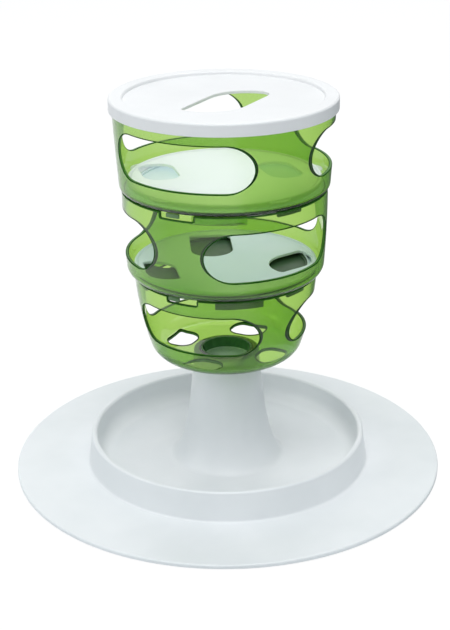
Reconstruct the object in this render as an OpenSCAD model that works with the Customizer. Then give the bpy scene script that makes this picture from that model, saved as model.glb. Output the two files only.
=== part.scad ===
// Cat food tree: three see-through cups stacked on a column over a catch tray.
// Millimetres, +Z up, origin on the floor under the column, front towards -Y.
// Angles are read from the front, positive towards +X.

/* [Base] */
// Overall diameter of the skirt
base_d = 350; // [320:1:400]
// Height of the skirt's top face
skirt_h = 4.2; // [4:0.1:6]
// Height of the tray's ring wall
ring_h = 29; // [24:1:45]
// Outer diameter of the ring wall at its top
ring_d = 225; // [200:1:250]
// Thickness of the ring wall at its top
ring_w = 4.5; // [4:0.1:7]
// How much wider the ring wall is at its foot, on the radius
ring_draft = 2.9; // [1:0.1:5]
// Height of the tray's floor
tray_z = 5; // [4.8:0.1:8]
// Fillet between tray floor and ring wall
tray_fillet = 12; // [6:1:16]
// Wall of the base moulding
shell = 2.2; // [1.8:0.1:2.6]

/* [Column] */
// Height of the column's top
column_h = 98.2; // [85:0.1:130]
// Diameter of the column at its top
column_d = 53; // [52:1:60]
// Diameter where the flare meets the tray floor
column_foot_d = 96; // [80:1:110]

/* [Feet] */
// Diameter of a foot
foot_d = 16; // [10:1:24]
// Distance from the skirt's edge to the middle of a foot
foot_inset = 25; // [20:1:32]
// Clear height under the base
foot_clear = 0.8; // [0.4:0.1:1.4]

/* [Cups] */
// Wall and floor of the green cups
cup_wall = 2.5; // [2:0.1:3]
// Height of the lower cup
lower_h = 69.7; // [62:0.1:85]
// Height of the middle cup
middle_h = 69.2; // [60:0.1:85]
// Height of the upper cup
upper_h = 66.2; // [58:0.1:85]
// Rim diameter of the lower cup
lower_rim_d = 145; // [140:1:160]
// How much wider the lower cup is at its rim than at its flat underside, on the radius
lower_flare = 26.5; // [24:0.5:28]
// How much wider the middle cup is at its rim than at its flat underside, on the radius
middle_flare = 10.9; // [10.5:0.1:12]
// How much wider the upper cup is at its rim than at its flat underside, on the radius
upper_flare = 8.6; // [6.5:0.1:9]
// How far the middle cup's flat underside ends inside the rim below, on the radius
middle_seat = 3.2; // [2.8:0.1:3.4]
// How far the upper cup's flat underside ends inside the rim below, on the radius
upper_seat = 3; // [2.8:0.1:3.4]
// Bottom corner radius of the lower cup
lower_corner = 16; // [12:1:20]
// Bottom corner radius of the middle cup
middle_corner = 9; // [7:0.5:11]
// Bottom corner radius of the upper cup
upper_corner = 5; // [4:0.5:7]
// Angle at which the lower cup's side leaves its bottom corner
lower_lean = 18; // [14:0.5:22]
// Angle at which the middle cup's side leaves its bottom corner
middle_lean = 4; // [3:0.5:6]
// Angle at which the upper cup's side leaves its bottom corner
upper_lean = 4; // [3.5:0.5:6]

/* [Windows] */
// Windows in each cup
window_count = 3; // [2:1:3]
// Height of the lower cup's windows
lower_window_h = 33; // [20:1:36]
// Height of the middle cup's windows
middle_window_h = 38; // [20:1:40]
// Height of the upper cup's windows
upper_window_h = 35.5; // [20:0.5:38]
// Window sill above the lower cup's underside
lower_sill = 22.5; // [18:0.5:24]
// Window sill above the middle cup's underside
middle_sill = 17.5; // [14:0.5:20]
// Window sill above the upper cup's underside
upper_sill = 18.5; // [14:0.5:20]
// Angle that a lower window spans
lower_span = 92; // [60:1:94]
// Angle that a middle window spans
middle_span = 92; // [60:1:94]
// Angle that an upper window spans
upper_span = 86; // [60:1:94]
// Middle of the lower cup's front window
lower_face = -26; // [-60:1:60]
// Middle of the middle cup's front window
middle_face = 33; // [-60:1:60]
// Middle of the upper cup's front window
upper_face = -27.5; // [-60:0.5:60]

/* [Drop holes] */
// Drop holes in the lower cup's floor
lower_hole_count = 4; // [3:1:4]
// Length of a lower drop hole
lower_hole_l = 28; // [20:1:30]
// Width of a lower drop hole
lower_hole_w = 21; // [16:1:23]
// How far the lower drop holes lie inside the edge of the cup's flat, on the radius
lower_hole_inset = 7; // [6.5:0.5:9]
// Direction of the first lower drop hole
lower_hole_face = -27; // [-45:1:45]
// How far the middle plate is turned from where its drop holes are as photographed
middle_plate_turn = 0; // [-180:1:180]
// How far the upper plate is turned from where its drop holes are as photographed
upper_plate_turn = 0; // [-180:1:180]

/* [Plates] */
// Thickness of a white floor plate
plate_t = 2.4; // [2:0.1:3]
// Height of the foot ring under a plate
plate_foot_h = 2.8; // [2.2:0.1:3.4]
// How far the middle plate reaches past the flat of its cup, on the radius
middle_plate_reach = 3.2; // [2:0.1:4]
// How far the upper plate stays inside the flat of its cup, on the radius
upper_plate_inset = 1.6; // [0.5:0.1:3]
// Height of the raised edge on a plate
plate_lip = 0.7; // [0.4:0.1:1.2]
// Ears on a plate's edge that keep it off the cup's wall
ear_count = 5; // [3:1:6]
// Radius of an ear's round
ear_round = 12; // [8:1:14]

/* [Twist joints] */
// Tabs that hang inside the rim below
tab_count = 3; // [2:1:3]
// Angle that a tab spans
tab_span = 31; // [20:1:34]
// Height of a tab
tab_h = 7; // [5:0.5:9]
// Thickness of a tab
tab_t = 2.2; // [1.8:0.1:2.6]
// Angle that a short tab spans
short_tab_span = 17; // [12:1:20]
// Height of a short tab
short_tab_h = 4.5; // [3:0.5:6]
// Angle that a lug spans
lug_span = 8; // [6:0.5:10]
// Height of a lug
lug_h = 3.2; // [2:0.1:3.8]
// Angle that a cup can twist on the cup below
twist = 11; // [8:1:14]
// Depth of a notch in a rim
notch_h = 4.5; // [4.2:0.1:6]

/* [Plug and socket] */
// Outer diameter of the lower cup's plug
plug_d = 43.2; // [40:0.1:44]
// Depth of the plug under the lower cup's floor
plug_h = 9; // [8:0.5:11]
// Lugs round the plug
plug_lugs = 3; // [2:1:3]
// Reach of a plug lug
plug_lug_t = 1.6; // [1:0.1:1.8]
// Height of a plug lug
plug_lug_h = 3; // [2:0.1:3.5]
// Angle that a plug lug spans
plug_lug_span = 16; // [12:1:20]
// Angle from locked to free
plug_twist = 24; // [24:1:40]

/* [Lid] */
// Thickness of the lid's skirt
lid_wall = 1.9; // [1.6:0.1:3]
// Height of the lid's skirt
lid_h = 10; // [8:0.5:14]
// Width of the raised rim
lid_rim_w = 11; // [8:0.5:14]
// Depth of the recess in the lid
lid_recess = 3; // [2:0.1:3.4]
// Thickness of the recessed top
lid_t = 2.5; // [2:0.1:3]
// Length of the filling hole
lid_hole_l = 78; // [50:1:84]
// Width of the filling hole
lid_hole_w = 39; // [30:1:44]

/* [Fits] */
// Clearance between pieces that move on each other
fit = 0.3; // [0.3:0.05:0.4]

/* [Hidden] */
$fn = 96;

// A cut runs this far past the faces that it opens
past = 1;
white = [0.93, 0.94, 0.95];
green = [0.50, 0.74, 0.26, 0.55];
rubber = [0.25, 0.26, 0.27];

// Base
base_r = base_d / 2;
ring_r = ring_d / 2;
ring_foot_r = ring_r + ring_draft;
ring_in_r = ring_r - ring_w;
skirt_under = skirt_h - shell;
tray_under = tray_z - shell;
edge_round = 1.4;
lip_w = 3;
rib_w = 3;
ring_round = ring_w * 0.45;
ring_fillet = 2;
column_r = column_d / 2;
column_foot_r = column_foot_d / 2;
column_swell = 2.5;
column_waist = 0.63;
column_flare = 13;
curve_steps = 24;
foot_count = 6;
foot_circle = base_r - foot_inset;

// Levels of the stack, each cup a fit above what carries it
lower_z = column_h + fit;
middle_z = lower_z + lower_h + fit;
upper_z = middle_z + middle_h + fit;
lid_z = upper_z + upper_h + fit;

// Each cup sits on the rim of the cup below
lower_rim_r = lower_rim_d / 2;
lower_flat_r = lower_rim_r - lower_flare;
middle_flat_r = lower_rim_r - middle_seat;
middle_rim_r = middle_flat_r + middle_flare;
upper_flat_r = middle_rim_r - upper_seat;
upper_rim_r = upper_flat_r + upper_flare;

// A cup is [underside, height, flat radius, corner radius, rim radius, lean of its side]
lower = [lower_z, lower_h, lower_flat_r, lower_corner, lower_rim_r, lower_lean];
middle = [middle_z, middle_h, middle_flat_r, middle_corner, middle_rim_r, middle_lean];
upper = [upper_z, upper_h, upper_flat_r, upper_corner, upper_rim_r, upper_lean];

// Plates
plate_foot_w = 3;
middle_plate_foot_r = middle_flat_r - fit;
upper_plate_foot_r = upper_flat_r - upper_plate_inset - plate_foot_w;
middle_plate_r = middle_flat_r + middle_plate_reach;
upper_plate_r = upper_flat_r - upper_plate_inset;
lip_crown = 3 * plate_lip;
lip_foot = 5 * plate_lip;
// An ear is this much thinner than the plate's upright edge, above and below
ear_inset = 0.2;
middle_ear_face = 5;
upper_ear_face = -39.5;
guide_w = 2.4;
guide_h = 1.6;

// Rounds of a leaf's corners, as shares of its shorter side, anticlockwise from the corner at (+, +)
leaf_rounds = [0.12, 0.78, 0.12, 0.78];
arch_rounds = [0.08, 0.5, 0.5, 0.2];
soft_rounds = [0.4, 0.48, 0.4, 0.48];
drop_rounds = [0.45, 0.6, 0.12, 0.35];

// Leaf holes are [direction, radius, turn, length, width, rounds], for a plate in shares of its radius
middle_holes = sized(middle_plate_r, [
    [-161, 0.488, -105, 0.717, 0.469, arch_rounds],
    [84, 0.714, -48, 0.607, 0.428, leaf_rounds],
    [-66.5, 0.75, -12.7, 0.579, 0.331, leaf_rounds]
]);
middle_floor_holes = sized(middle_plate_r, [
    [45, 0.731, -10, 0.634, 0.386, leaf_rounds],
    [-116, 0.731, 0, 0.634, 0.386, leaf_rounds]
]);
upper_holes = sized(upper_plate_r, [
    [-102.6, 0.698, 26.6, 0.582, 0.37, soft_rounds],
    [109, 0.608, 0, 0.608, 0.357, soft_rounds]
]);
upper_floor_holes = sized(upper_plate_r, [
    [67, 0.608, 0, 0.608, 0.357, soft_rounds],
    [-168, 0.608, 0, 0.608, 0.357, soft_rounds]
]);
lower_hole_circle = lower_flat_r - lower_hole_inset;
lower_holes = [
    for (k = [0:lower_hole_count - 1])
        let (a = lower_hole_face + k * 360 / lower_hole_count)
            [a, lower_hole_circle, 0, lower_hole_l, lower_hole_w, drop_rounds]
];

// Twist joints
lug_room = 1;
notch_span = lug_span + twist + lug_room;
tab_rise = 1;
tab_gap = 1;
middle_tab_face = 8.6;
upper_tab_face = -3.4;
middle_lug_face = -33.5;
upper_lug_face = -29.2;
// Where the lug stands in its notch at rest, as a share of the twist to its left
middle_lug_rest = 0;
upper_lug_rest = 0.3;
// Angle from a tab's middle to the short tab after it
short_tab_offset = 42;

// Plug and socket
plug_r = plug_d / 2;
socket_r = plug_r + fit;
socket_spare = 4;
socket_h = plug_h + socket_spare;
plug_z = lower_z - plug_h;
plug_lug_z = plug_z + past;
plug_lug_room = 2;

// Lid
lid_in_r = upper_rim_r + fit;
lid_r = lid_in_r + lid_wall;
lid_top = lid_z + lid_t + lid_recess;
lid_recess_r = lid_r - lid_rim_w;
lid_round = 1.8;
lid_hole_at = [3, -9];
lid_hole_turn = 151;
lid_hole_rounds = [0.12, 0.78, 0.28, 0.78];

// Leaf holes given as shares of a radius, in millimetres
function sized(r, holes) = [for (h = holes) [h[0], h[1] * r, h[2], h[3] * r, h[4] * r, h[5]]];

// Points of an arc about c, from angle a to angle b
function arc(c, r, a, b, n = 6) = [
    for (i = [0:n])
        let (t = a + (b - a) * i / n)
            c + r * [cos(t), sin(t)]
];

// Points of a cubic curve
function curve(p, q, r, s) = [
    for (i = [0:curve_steps])
        let (t = i / curve_steps, u = 1 - t)
            u * u * u * p + 3 * u * u * t * q + 3 * u * t * t * r + t * t * t * s
];

// Side of the column, from its top to the tray floor, set in by d
function column_side(d) = curve(
    [column_r - d, column_h],
    [column_r + column_swell - d, column_h * column_waist],
    [column_foot_r - column_flare - d, tray_z - d],
    [column_foot_r - d / 2, tray_z - d]
);

// A sector block between two radii and two heights, about the direction a
module sector(r0, r1, z0, z1, a, span)
    rotate([0, 0, a - span / 2 - 90])
        rotate_extrude(angle = span)
            translate([r0, z0])
                square([r1 - r0, z1 - z0]);

// What rounds off a corner of an l by w rectangle, on the side (sx, sy), with the radius r
module corner_waste(l, w, r, sx, sy)
    translate([sx * (l / 2 - r), sy * (w / 2 - r)])
        difference() {
            translate([sx * (r + past) / 2, sy * (r + past) / 2]) square(r + past, center = true);
            circle(r);
        }

// A rectangle with a round of its own at each corner
module leaf(l, w, rounds) {
    short = min(l, w);
    difference() {
        square([l, w], center = true);
        corner_waste(l, w, short * rounds[0], 1, 1);
        corner_waste(l, w, short * rounds[1], -1, 1);
        corner_waste(l, w, short * rounds[2], -1, -1);
        corner_waste(l, w, short * rounds[3], 1, -1);
    }
}

// Upright punches for a list of leaf holes
module leaf_punches(holes, z0, z1)
    for (h = holes)
        rotate([0, 0, h[0]])
            translate([0, -h[1], z0])
                rotate([0, 0, h[2]])
                    linear_extrude(z1 - z0)
                        leaf(h[3], h[4], h[5]);

// Side of a cup from its flat underside to its rim, set in by d: a corner arc, then a long arc
function cup_side(c, d) =
    let (
        corner = [c[2], c[0] + c[3]],
        start = corner + c[3] * [cos(c[5]), -sin(c[5])],
        inward = [-cos(c[5]), sin(c[5])],
        rim = [c[4], c[0] + c[1]] - start,
        side_r = rim * rim / (2 * rim * inward),
        centre = start + side_r * inward,
        end = asin((c[0] + c[1] - centre[1]) / (side_r - d))
    )
    concat(arc(corner, c[3] - d, -90, -c[5], 8), arc(centre, side_r - d, -c[5], end, 6));

// The plain cup, before its windows
module cup_shell(c) {
    inside = cup_side(c, cup_wall);
    rotate_extrude()
        polygon(concat(
            [[0, c[0]]],
            cup_side(c, 0),
            [for (i = [len(inside) - 1:-1:0]) inside[i]],
            [[0, c[0] + cup_wall]]
        ));
}

// Side windows, punched through the wall along the middle of each
module window_cuts(c, sill, h, span, face) {
    mid_r = c[4] - cup_wall;
    w = 2 * mid_r * sin(span / 2);
    for (k = [0:window_count - 1])
        rotate([0, 0, face + k * 360 / window_count])
            translate([0, -mid_r * cos(span / 2) / 2, c[0] + sill + h / 2])
                rotate([90, 0, 0])
                    linear_extrude(c[4]) {
                        square([w - h, h], center = true);
                        for (s = [-1, 1])
                            translate([s * (w - h) / 2, 0]) circle(h / 2);
                    }
}

// Tabs inside the rim below, and the lugs that run in its notches
module hangers(c, below, tab_face, lug_face) {
    rim_in = below[4] - cup_wall;
    tab_r = rim_in - tab_gap;
    tab_in = tab_r - tab_t;
    top = c[0] + tab_rise;
    for (k = [0:tab_count - 1])
        rotate([0, 0, k * 360 / tab_count]) {
            sector(tab_in, tab_r, c[0] - tab_h, top, tab_face, tab_span);
            sector(tab_in, tab_r, c[0] - short_tab_h, top, tab_face + short_tab_offset, short_tab_span);
            sector(rim_in + fit, below[4] - fit, c[0] - lug_h, c[0] + cup_wall, lug_face, lug_span);
        }
}

// Notches in a rim for the lugs of the cup above
module notches(c, lug_face, rest) {
    top = c[0] + c[1];
    a = lug_face + twist * (0.5 - rest);
    for (k = [0:tab_count - 1])
        rotate([0, 0, k * 360 / tab_count])
            sector(c[4] - cup_wall - past, c[4] + past, top - notch_h, top + past, a, notch_span);
}

// Ring on a cup's floor that centres the plate's foot
module plate_guide(c, foot_r)
    translate([0, 0, c[0] + cup_wall - past])
        rotate_extrude()
            translate([foot_r - plate_foot_w - fit - guide_w, 0])
                square([guide_w, guide_h + past]);

// Inner radius of a cup at height h above its underside, in the round of its bottom corner
function corner_in(c, h) = c[2] + sqrt(pow(c[3] - cup_wall, 2) - pow(max(0, c[3] - h), 2));

// A white plate: a disc with a raised edge, ears and a foot ring
module plate(c, r, foot_r, holes, ear_face, turn) {
    z0 = c[0] + cup_wall + fit;
    z1 = z0 + plate_foot_h;
    z2 = z1 + plate_t;
    foot_in = foot_r - plate_foot_w;
    ear_r = corner_in(c, z1 - c[0]) - fit;
    color(white)
        rotate([0, 0, turn]) difference() {
            union() {
                rotate_extrude()
                    polygon([
                        [0, z1], [foot_in, z1], [foot_in, z0], [foot_r, z0], [foot_r, z1],
                        [r - plate_lip, z1], [r, z1 + plate_lip], [r, z2], [r - plate_lip, z2 + plate_lip],
                        [r - lip_crown, z2 + plate_lip], [r - lip_foot, z2], [0, z2]
                    ]);
                for (k = [0:ear_count - 1])
                    rotate([0, 0, ear_face + k * 360 / ear_count])
                        translate([0, ear_round - ear_r, z1 + plate_lip + ear_inset])
                            cylinder(r = ear_round, h = plate_t - plate_lip - 2 * ear_inset);
            }
            leaf_punches(holes, z0 - past, z2 + plate_lip + past);
        }
}

// Skirt, tray and column in one
module base_tray() color(white)
    difference() {
        rotate_extrude($fn = 180)
            polygon(concat(
                [[base_r - lip_w, foot_clear], [base_r, foot_clear]],
                arc([base_r - edge_round, skirt_h - edge_round], edge_round, 0, 90),
                arc([ring_foot_r + ring_fillet, skirt_h + ring_fillet], ring_fillet, 270, 180),
                arc([ring_r - ring_round, ring_h - ring_round], ring_round, 0, 90),
                arc([ring_in_r + ring_round, ring_h - ring_round], ring_round, 90, 180),
                arc([ring_in_r - tray_fillet, tray_z + tray_fillet], tray_fillet, 0, -90, 10),
                [for (i = [curve_steps:-1:0]) column_side(0)[i]],
                [[socket_r, column_h], [socket_r, column_h - socket_h]],
                [for (p = column_side(shell)) if (p[1] < column_h - socket_h - shell) p],
                [
                    [ring_r - rib_w, tray_under], [ring_r - rib_w, foot_clear],
                    [ring_r, foot_clear], [ring_r, skirt_under], [base_r - lip_w, skirt_under]
                ]
            ));
        for (k = [0:plug_lugs - 1]) {
            a = k * 360 / plug_lugs;
            reach = socket_r + plug_lug_t + fit;
            room = plug_lug_span + plug_lug_room;
            z0 = plug_lug_z - fit;
            z1 = plug_lug_z + plug_lug_h + fit;
            sector(0, reach, z0, z1, a - plug_twist / 2, plug_twist + room);
            sector(0, reach, z0, column_h + past, a - plug_twist, room);
        }
    }

// Rubber pad under the skirt
module foot(k) color(rubber)
    rotate([0, 0, (k - 0.5) * 360 / foot_count])
        translate([0, -foot_circle, 0])
            cylinder(d = foot_d, h = skirt_under);

// Green bowl with its plug in the column
module lower_cup() color(green)
    difference() {
        union() {
            cup_shell(lower);
            translate([0, 0, plug_z]) cylinder(r = plug_r, h = plug_h + cup_wall);
            for (k = [0:plug_lugs - 1])
                sector(plug_r - past, plug_r + plug_lug_t, plug_lug_z, plug_lug_z + plug_lug_h,
                    k * 360 / plug_lugs, plug_lug_span);
        }
        translate([0, 0, plug_z + cup_wall]) cylinder(r = plug_r - cup_wall, h = plug_h + cup_wall);
        window_cuts(lower, lower_sill, lower_window_h, lower_span, lower_face);
        notches(lower, middle_lug_face, middle_lug_rest);
        leaf_punches(lower_holes, lower_z - past, lower_z + lower_corner);
    }

// Holes in a cup's floor, which its plate opens or closes as it turns
module floor_holes(c, holes)
    leaf_punches(holes, c[0] - tab_h - past, c[0] + cup_wall + guide_h + past);

module middle_cup() color(green)
    difference() {
        union() {
            cup_shell(middle);
            plate_guide(middle, middle_plate_foot_r);
            hangers(middle, lower, middle_tab_face, middle_lug_face);
        }
        window_cuts(middle, middle_sill, middle_window_h, middle_span, middle_face);
        notches(middle, upper_lug_face, upper_lug_rest);
        floor_holes(middle, middle_floor_holes);
    }

module middle_plate()
    plate(middle, middle_plate_r, middle_plate_foot_r, middle_holes, middle_ear_face, middle_plate_turn);

module upper_cup() color(green)
    difference() {
        union() {
            cup_shell(upper);
            plate_guide(upper, upper_plate_foot_r);
            hangers(upper, middle, upper_tab_face, upper_lug_face);
        }
        window_cuts(upper, upper_sill, upper_window_h, upper_span, upper_face);
        floor_holes(upper, upper_floor_holes);
    }

module upper_plate()
    plate(upper, upper_plate_r, upper_plate_foot_r, upper_holes, upper_ear_face, upper_plate_turn);

// Cap with a raised rim and a filling hole
module lid() color(white)
    difference() {
        rotate_extrude($fn = 180)
            polygon(concat(
                [[0, lid_z], [lid_in_r, lid_z], [lid_in_r, lid_top - lid_h], [lid_r, lid_top - lid_h]],
                arc([lid_r - lid_round, lid_top - lid_round], lid_round, 0, 90),
                arc([lid_recess_r + lid_round, lid_top - lid_round], lid_round, 90, 180),
                [[lid_recess_r, lid_z + lid_t], [0, lid_z + lid_t]]
            ));
        translate([lid_hole_at[0], lid_hole_at[1], lid_z - past])
            rotate([0, 0, lid_hole_turn])
                linear_extrude(lid_t + 2 * past)
                    leaf(lid_hole_w, lid_hole_l, lid_hole_rounds);
    }

base_tray();
foot(1);  // foot_1
foot(2);  // foot_2
foot(3);  // foot_3
foot(4);  // foot_4
foot(5);  // foot_5
foot(6);  // foot_6
lower_cup();
middle_cup();
middle_plate();
upper_cup();
upper_plate();
lid();
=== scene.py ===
import math

import bpy
import numpy as np
from mathutils import Matrix, Vector
from mathutils.geometry import delaunay_2d_cdt


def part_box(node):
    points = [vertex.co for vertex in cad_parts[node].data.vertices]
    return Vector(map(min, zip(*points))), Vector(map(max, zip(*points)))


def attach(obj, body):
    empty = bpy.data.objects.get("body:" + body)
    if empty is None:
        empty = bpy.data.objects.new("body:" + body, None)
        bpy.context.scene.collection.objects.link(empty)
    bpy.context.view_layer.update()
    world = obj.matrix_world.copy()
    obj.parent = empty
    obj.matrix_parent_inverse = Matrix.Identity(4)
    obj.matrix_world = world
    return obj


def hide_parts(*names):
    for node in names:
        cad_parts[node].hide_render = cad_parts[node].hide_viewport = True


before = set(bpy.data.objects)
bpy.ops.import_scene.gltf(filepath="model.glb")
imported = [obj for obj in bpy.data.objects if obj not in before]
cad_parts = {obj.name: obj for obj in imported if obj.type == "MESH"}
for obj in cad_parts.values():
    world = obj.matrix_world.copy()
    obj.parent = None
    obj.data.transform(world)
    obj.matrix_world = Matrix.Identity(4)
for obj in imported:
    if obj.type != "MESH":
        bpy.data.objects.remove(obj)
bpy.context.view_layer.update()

# Lengths are in millimetres and become metres when a mesh is made. They follow the part's solids; the
# roundings, the painted-shade dark lines and SEAT are the scene's own. Angles are degrees from the front,
# positive towards +X.
MM = 0.001
STEPS = 144           # columns round the axis
WALL = 2.5            # wall and floor of the green cups
FIT = 0.3             # clearance between pieces that move on each other
HAIR = 0.02           # air between a block and the face that carries it
EDGE = 0.55           # rounding of cut edges
BAND = 0.35           # painted-shade line along a cut edge of the green plastic, beside its rounding
STRIP = 1.0           # flat strip between a sheet and the next rounding
THIRD = 120.0         # what repeats three times round a cup
SEAT = 0.25           # how far a rim rises here into the clearance under the next cup, so that no light shows

# A cup: underside, height, flat radius, corner radius, rim radius, lean of its side, reach of its floor into
# the corner, and the direction in which its side's sheet closes, clear of windows and notches and on a column
LOWER = dict(z=98.5, h=69.7 + SEAT, flat=46.0, corner=16.0, rim=72.5, lean=18.0, reach=8.0, seam=35.0)
MIDDLE = dict(z=168.5, h=69.2 + SEAT, flat=69.3, corner=9.0, rim=80.2, lean=4.0, reach=0.0, seam=105.0)
UPPER = dict(z=238.0, h=66.2, flat=77.2, corner=5.0, rim=85.8, lean=4.0, reach=0.0, seam=32.5)

# Windows: sill above the underside, height, span, direction of the front one
LOWER_WINDOW = dict(sill=22.5, h=33.0, span=92.0, face=-26.0)
MIDDLE_WINDOW = dict(sill=17.5, h=38.0, span=92.0, face=33.0)
UPPER_WINDOW = dict(sill=18.5, h=35.5, span=86.0, face=-27.5)

# Rounds of a leaf hole's corners, as shares of its shorter side, anticlockwise from the corner at (+, +)
LEAF = (0.12, 0.78, 0.12, 0.78)
ARCH = (0.08, 0.5, 0.5, 0.2)
SOFT = (0.4, 0.48, 0.4, 0.48)
DROP = (0.45, 0.6, 0.12, 0.35)

# Leaf holes: direction, radius, turn, length, width, rounds
LOWER_HOLES = [(-27.0 + 90.0 * k, 39.0, 0.0, 28.0, 21.0, DROP) for k in range(4)]
MIDDLE_HOLES = [(-161.0, 35.4, -105.0, 52.0, 34.0, ARCH), (84.0, 51.8, -48.0, 44.0, 31.0, LEAF),
                (-66.5, 54.4, -12.7, 42.0, 24.0, LEAF)]
MIDDLE_FLOOR_HOLES = [(45.0, 53.0, -10.0, 46.0, 28.0, LEAF), (-116.0, 53.0, 0.0, 46.0, 28.0, LEAF)]
UPPER_HOLES = [(-102.6, 52.8, 26.6, 44.0, 28.0, SOFT), (109.0, 46.0, 0.0, 46.0, 27.0, SOFT)]
UPPER_FLOOR_HOLES = [(67.0, 46.0, 0.0, 46.0, 27.0, SOFT), (-168.0, 46.0, 0.0, 46.0, 27.0, SOFT)]

# Tabs and lugs under a cup, and the notches for the lugs in the rim below
TAB = dict(span=31.0, h=7.0, t=2.2, gap=1.0)
SHORT_TAB = dict(span=17.0, h=4.5, offset=42.0)
LUG = dict(span=8.0, h=3.2)
NOTCH = dict(span=20.0, depth=4.5, round=0.9)
MIDDLE_TABS = dict(face=8.6, lug=-33.5, notch=-28.0)
UPPER_TABS = dict(face=-3.4, lug=-29.2, notch=-27.0)
UPPER_SEAT = 70.0     # where the painted shade of the upper cup's seat on the rim below begins

# Plug of the lower cup, its lugs, and the well in it
PLUG = dict(r=21.6, h=9.0)
PLUG_LUG = dict(t=1.6, h=3.0, span=16.0, rise=1.0, soft=0.3)
PLUG_ROUND = dict(bottom=0.6, neck=0.5, well=0.8)
WELL_EDGE = 2.0       # ring of painted shade round the well's mouth
WELL_TURN = 0.5       # height over the well's floor at which the floor's painted light begins

# Plates, and the rings on the cups' floors that centre them: direction and span of each piece of ring.
# Crest and valley: where a plate's raised lip and its slope end, from the edge, in heights of the lip.
GUIDE = dict(w=2.4, h=1.6, soft=0.3)
MIDDLE_GUIDE = [(144.5, 147.0), (-35.5, 109.0)]
UPPER_GUIDE = [(180.0 * k, 179.9) for k in range(2)]
PLATE = dict(t=2.4, foot_h=2.8, foot_w=3.0, lip=0.7, crest=3, valley=5)
PLATE_ROUND = dict(root=0.4, foot=0.5, side=0.5, edge=0.6, lip=0.8)
MIDDLE_PLATE = dict(r=72.5, foot=69.0, ear=74.5, ear_face=5.0)
UPPER_PLATE = dict(r=75.6, foot=72.6, ear=79.4, ear_face=-39.5)

# Ears of a plate: how many, radius, rounding and its middle as a share, inset from the plate's faces, degrees
# of overlap with its edge, columns
EAR = dict(count=5, round=12.0, soft=0.3, bevel=0.3, inset=0.2, overlap=3, steps=24)

# Lid
LID = dict(z=304.5, t=2.5, recess=3.0, h=10.0, rim=11.0, bore=86.1, r=88.0, strip=2)
LID_ROUND = dict(bore=0.6, low_in=0.4, low_out=0.5, top=1.8, recess=1.6, floor=0.7)
LID_HOLE = dict(at=(3.0, -9.0), turn=151.0, l=39.0, w=78.0, rounds=(0.12, 0.78, 0.28, 0.78))

# Base; the crown is the rounding of the ring wall's top, as a share of its thickness
BASE = dict(r=175.0, skirt=4.2, ring_h=29.0, ring_r=112.5, ring_w=4.5, draft=2.9, tray=5.0, fillet=12.0,
            shell=2.2, clear=0.8, lip=3.0, rib=3.0, crown=0.45)
BASE_ROUND = dict(lip=0.3, low=0.6, skirt=1.4, root=2.0, mouth=0.8, socket=0.5, groove=0.1, step=0.4,
                  rib_root=0.5, rib=0.3, under=0.4)
COLUMN = dict(h=98.2, r=26.5, foot=48.0, swell=2.5, waist=0.63, flare=13.0, socket=21.9, socket_h=13.0,
              steps=48)

# Rubber pads: depth of the dish under one, radii of the dish and of the ring round it as shares of the pad's
PADS = 6
PAD = dict(dish=0.25, dish_r=0.62, ring_r=0.7, steps=48)
PAD_ROUND = dict(dish=0.3, low=0.5, top=0.2)

# Looks of a cup's faces, in the order of its materials: clear, painted-shade line along cuts, floor, long
# tabs, rim and seat in painted shade, short tabs and lugs, painted-shade face of a cut. The lower cup has no
# tabs, so its well takes their places, painted shade on its side and painted light on its bed.
CLEAR, SHADE_LINE, FLOOR, LONG, RIM_SHADE, SHORT, CUT_SHADE = range(7)
WELL_SIDE_SHADE, WELL_BED_LIGHT = LONG, SHORT

# Meshing
TINY = 1e-9           # shorter lengths and smaller areas count as nothing
MERGE = 1e-6          # points of an outline that are closer than this are one
STRAIGHT = 1e-4       # a smaller turn, in radians, gets no rounding
DIGITS = 3            # decimals in which points of a shell agree when they are one
HULL = 0              # the triangulation covers the hull of its points
ARC_STEP = 9          # degrees between the points of a rounding
HOLE_STEP = 2.5       # longest side in the outline of an upright hole
EDGE_STEP = 3.0       # longest side in the outline of a window or a rim
HALF_ROUND = 36       # sides in the round end of a window
SHEET_STEP = 9.0      # spacing of the points inside a flat sheet
SHEET_CLEAR = 2.0     # how far they keep from its outlines
WALL_LEVELS = 18      # levels up the side of a cup
WALL_CLEAR = 1.4      # how far the points inside its sheet keep from its outlines
RIM_CLEAR = 1.5       # how far the levels keep below the rim
CORNER_STEPS = 12     # rows round a cup's bottom corner
BEND = (0.25, 0.5, 0.75)                            # where the curve of a cut edge has its points
BLOCK_STEP = 2.5      # degrees between the columns of a block
BLOCK_END = ((0.0, 1.0), (0.3, 0.45), (1.0, 0.0))   # its rounded end, as shares along and across


# Plain geometry

def polar(a, r, z):
    """A point at angle a (degrees from the front), radius r and height z."""
    t = math.radians(a)
    return (r * math.sin(t), -r * math.cos(t), z)


def heading(p, q):
    """Direction from p to q."""
    return (q - p) / max(TINY, np.linalg.norm(q - p))


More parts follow.
